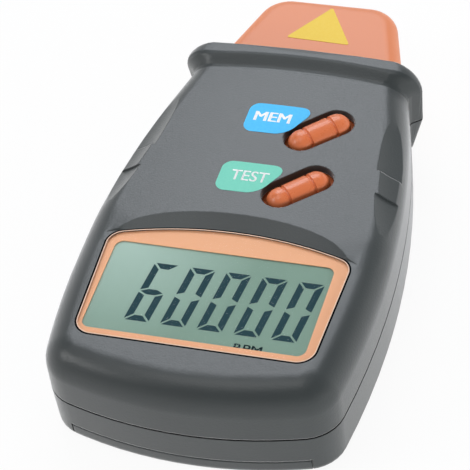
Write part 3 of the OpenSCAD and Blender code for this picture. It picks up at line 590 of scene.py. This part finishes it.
# Yellow vinyl: an even film with a soft shine.
vinyl = printed("yellow_vinyl", "#f0cc4e", "#f2d058", rough=0.35)
patch_corners, patch_round, patch_t = ((-7.7, 50.1), (8.0, 49.6), (0.7, 62.1)), 0.8, 0.08
nose_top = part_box("nose_cap")[1].z * 1000
bm = bmesh.new()
bm.faces.new([bm.verts.new((x, y, nose_top)) for x, y in patch_corners])
bmesh.ops.bevel(
    bm,
    geom=bm.verts[:],
    offset=patch_round,
    offset_type="OFFSET",
    affect="VERTICES",
    segments=6,
    profile=0.5,
    material=-1,
)
thicken(bm, patch_t)
piece("nose_patch", bm, [vinyl], "housing")

# Front shell. The upper half of the case in the same grained ABS, with the arched display face, the
# button panel, the finger scoops and the flared collar in one moulding.
paint_joint_dust_and_shade(skin_of("front_shell", "housing", case_abs, round_mm=0.35, crease=12))

# Button labels. Two thin printed films stuck on the crowned panel beside the buttons, blue and green,
# each with one side cut along the slant of its button and the button's function in white.
panel_z, crown_r = 27.0, 261.3
film_t, ink_sink, ink_t = 0.06, 0.005, 0.02
# The films are cut into strips across, so that they can follow the crown.
strip_w, strip_n = 1.5, 5


def over_crown(bm, lift):
    """Lays a flat drawing on the panel, which falls away to both sides on one arc."""
    for vert in bm.verts:
        vert.co.z = panel_z - vert.co.x**2 / (2 * crown_r) + lift


# White ink stands on the films, and both films have the same soft shine. A film's corners are x, y and
# their rounding, and its legend's edges are left, right, low and high.
white_ink = printed("white_ink", "#fcfdfd", "#ffffff", rough=0.4)
for name, word, colour, shade, corners, edges, bold in (
    (
        "mem_label",
        "MEM",
        "#4cc2ff",
        "#54c8ff",
        ((-7.3, 12.1, 2.4), (3.13, 12.1, 3.0), (8.3, 21.5, 3.6), (-7.3, 21.5, 2.4)),
        (-5.4, 3.0, 15.8, 18.8),
        0.13,
    ),
    (
        "test_label",
        "TEST",
        "#78d4be",
        "#7ed8c2",
        ((-8.2, -7.35, 2.4), (1.9, -7.35, 3.0), (7.16, 2.0, 3.6), (-8.2, 2.0, 2.4)),
        (-5.4, 3.2, -3.8, -0.6),
        0.04,
    ),
):
    bm = bmesh.new()
    points = [bm.verts.new((x, y, 0)) for x, y, r in corners]
    bm.faces.new(points)
    for point, (x, y, r) in zip(points, corners):
        bmesh.ops.bevel(
            bm,
            geom=[point],
            offset=r,
            offset_type="OFFSET",
            affect="VERTICES",
            segments=8,
            profile=0.5,
            material=-1,
        )
    for step in range(-strip_n, strip_n + 1):
        bmesh.ops.bisect_plane(
            bm,
            geom=bm.verts[:] + bm.edges[:] + bm.faces[:],
            plane_co=(step * strip_w, 0, 0),
            plane_no=(1, 0, 0),
        )
    over_crown(bm, 0.0)
    thicken(bm, film_t)
    piece(name, bm, [printed(name + "_film", colour, shade, rough=0.4)], "housing")
    bm = lettering(word, *edges, bold)
    over_crown(bm, film_t - ink_sink)
    thicken(bm, ink_t)
    piece(name + "_legend", bm, [white_ink], "housing")

# Display window. A clear acrylic plate stuck into the face of the front shell, with the border of
# the display printed on its underside in peach-orange ink.

# Opaque peach ink with an even, dull face, which is seen through the plate.
peach_ink = printed("peach_ink", "#fab489", "#fcb88f", rough=0.5)
dress(peach_ink, "display_mask")
# Clear acrylic. Its index is far below the real 1.49, because the lamps' faint images in the plate came
# out as speckle on the display. The plate's underside stands 0.02 mm off the print.
acrylic = clear("clear_acrylic", "#fbfdfd", rough=0.005, bending=1.03)
window = skin_of("display_lens", "housing", acrylic, round_mm=0.1, crease=30)
print_off = 0.00002
middle_z = (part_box("display_lens")[0].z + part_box("display_lens")[1].z) / 2
for vert in window.data.vertices:
    if vert.co.z < middle_z:
        vert.co.z += print_off
# A painted shadow of the gap shows as a fine black line round the plate, with a painted highlight of the
# plate's polished edge inside it.
gap_shadow_paint = printed("painted_gap_shadow", "#060607", "#0a0a0b", rough=0.6, shine=0.02)
edge_highlight_paint = printed("painted_edge_highlight", "#f0c9b0", "#f3cfb8", rough=0.3)
shadow_line_w, highlight_w, rim_t = 0.42, 0.22, 0.01
weld_mm, top_reach = 0.002, 0.01
bm = bmesh.new()
bm.from_mesh(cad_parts["display_lens"].data)
bmesh.ops.scale(bm, vec=(1000, 1000, 1000), verts=bm.verts)
bmesh.ops.remove_doubles(bm, verts=bm.verts, dist=weld_mm)
plate_top = max(v.co.z for v in bm.verts)
under = [f for f in bm.faces if f.calc_center_median().z < plate_top - top_reach]
bmesh.ops.delete(bm, geom=under, context="FACES")
bmesh.ops.dissolve_faces(bm, faces=bm.faces[:])
# The plate's face is grown by the width of the painted gap shadow and cut back, which leaves that shadow
# as a ring round it, and is then cut once more for the painted edge highlight.
plate = bm.faces[:]
rims = []
for width in (-shadow_line_w, shadow_line_w, highlight_w):
    cut = bmesh.ops.inset_region(
        bm, faces=plate, thickness=width, use_boundary=True, use_even_offset=True
    )
    rims.append(cut["faces"])
for face in rims[2]:
    face.material_index = 1
bmesh.ops.delete(bm, geom=plate + rims[0], context="FACES")
thicken(bm, rim_t)
piece("window_rim", bm, [gap_shadow_paint, edge_highlight_paint], "housing")

# Buttons. Two glossy orange ABS keys with shallow grooves across them, which stand up through the
# slanted slots and press the tact switches under them.

# Polished orange: a smooth skin with a clear highlight.
button_abs = moulded("polished_orange_abs", "#dc7546", "#df7b4d", rough=0.3, grain_mm=0.9, depth_mm=0.003)
skin_of("mem_button", "mem_key", button_abs, round_mm=0.15, crease=25)
skin_of("test_button", "test_key", button_abs, round_mm=0.15, crease=25)

# Case screws. Four plated steel screws with a cross recess, driven from the back. They pass through
# the rear shell's bosses into those of the front shell, and close the case.
dress(plated_steel, "case_screws")

# Studio. A white floor in a room that is pale along the horizon and dimmer overhead. One broad softbox
# behind the nose gives the flat faces their sheen, with lesser ones overhead and at the sides. The
# right one stays out of reflections, so that the window can be read from the left as well.
floor_half, floor_drop = 3, 0.0002
floor_mesh = bpy.data.meshes.new("floor")
bm = bmesh.new()
bmesh.ops.create_grid(bm, x_segments=1, y_segments=1, size=floor_half)
bm.to_mesh(floor_mesh)
bm.free()
floor = bpy.data.objects.new("floor", floor_mesh)
floor.location.z = cad_box[0].z - floor_drop
bpy.context.scene.collection.objects.link(floor)
# White paper: the camera sees most of it as plain white, and the rest keeps the object's shadow.
plain_white = 0.93
floor_paper = new_material("white_paper")
tree = floor_paper.node_tree
paper = add_node(tree, "BsdfDiffuse", {"Color": srgb("#f7f7f7")})
glow = add_node(tree, "Emission", {"Color": srgb("#ffffff"), "Strength": 1.0})
path = add_node(tree, "LightPath", {})
seen = add_node(
    tree,
    "Math",
    {0: path.outputs["Is Glossy Ray"], 1: path.outputs["Is Transmission Ray"]},
    operation="MAXIMUM",
)
straight = add_node(
    tree, "Math", {0: path.outputs["Is Camera Ray"], 1: plain_white}, operation="MULTIPLY"
)
share = add_node(
    tree, "Math", {0: seen.outputs["Value"], 1: straight.outputs["Value"]}, operation="MAXIMUM"
)
mixed = add_node(
    tree,
    "MixShader",
    {0: share.outputs["Value"], 1: paper.outputs["BSDF"], 2: glow.outputs["Emission"]},
)
add_node(tree, "OutputMaterial", {"Surface": mixed.outputs["Shader"]})
floor_mesh.materials.append(floor_paper)

world = bpy.data.worlds.new("soft_room")
world.use_nodes = True
tree = world.node_tree
tree.nodes.clear()
sky = add_node(tree, "SeparateXYZ", {"Vector": add_node(tree, "TexCoord", {}).outputs["Generated"]})
level = add_node(
    tree,
    "MapRange",
    {"Value": sky.outputs["Z"], "From Min": 0.0, "From Max": 0.6, "To Min": 1.0, "To Max": 0.2},
)
room = add_node(tree, "Background", {"Color": srgb("#ffffff"), "Strength": level.outputs["Result"]})
add_node(tree, "OutputWorld", {"Surface": room.outputs["Background"]})
bpy.context.scene.world = world

aim = Vector((0, 0, 0.014))
for name, toward, reach, wide, high, watts, colour, mirrored in (
    ("softbox", (-0.18, 0.66, 0.73), 0.75, 0.6, 0.45, 3.4, "#f4f8ff", True),
    ("top_lamp", (-0.15, -0.15, 1.0), 0.9, 0.5, 0.5, 1.4, "#ffffff", True),
    ("right_lamp", (0.95, -0.30, 0.16), 0.9, 0.5, 0.25, 3.4, "#ffffff", False),
    ("left_lamp", (-0.68, -0.38, 0.63), 0.9, 0.3, 0.2, 1.3, "#ffffff", True),
):
    lamp = bpy.data.lights.new(name, "AREA")
    lamp.shape = "RECTANGLE"
    lamp.size = wide
    lamp.size_y = high
    lamp.energy = watts
    lamp.color = srgb(colour)[:3]
    holder = bpy.data.objects.new(name, lamp)
    holder.visible_glossy = holder.visible_transmission = mirrored
    back = Vector(toward).normalized()
    holder.location = aim + back * reach
    holder.rotation_euler = back.to_track_quat("Z", "Y").to_euler()
    bpy.context.scene.collection.objects.link(holder)

# The camera stands above and beyond the display end, a little to the right, as in the photograph.
lens = bpy.data.cameras.new("camera")
lens.lens = 201.7
lens.sensor_width = 36
lens.clip_start = 0.05
lens.clip_end = 20
camera = bpy.data.objects.new("camera", lens)
camera.location = (0.15943, -0.39714, 0.43287)
camera.rotation_euler = [math.radians(turn) for turn in (44.8258, 6.4785, 16.3593)]
bpy.context.scene.collection.objects.link(camera)
bpy.context.scene.camera = camera
bpy.context.scene.view_settings.view_transform = "Standard"
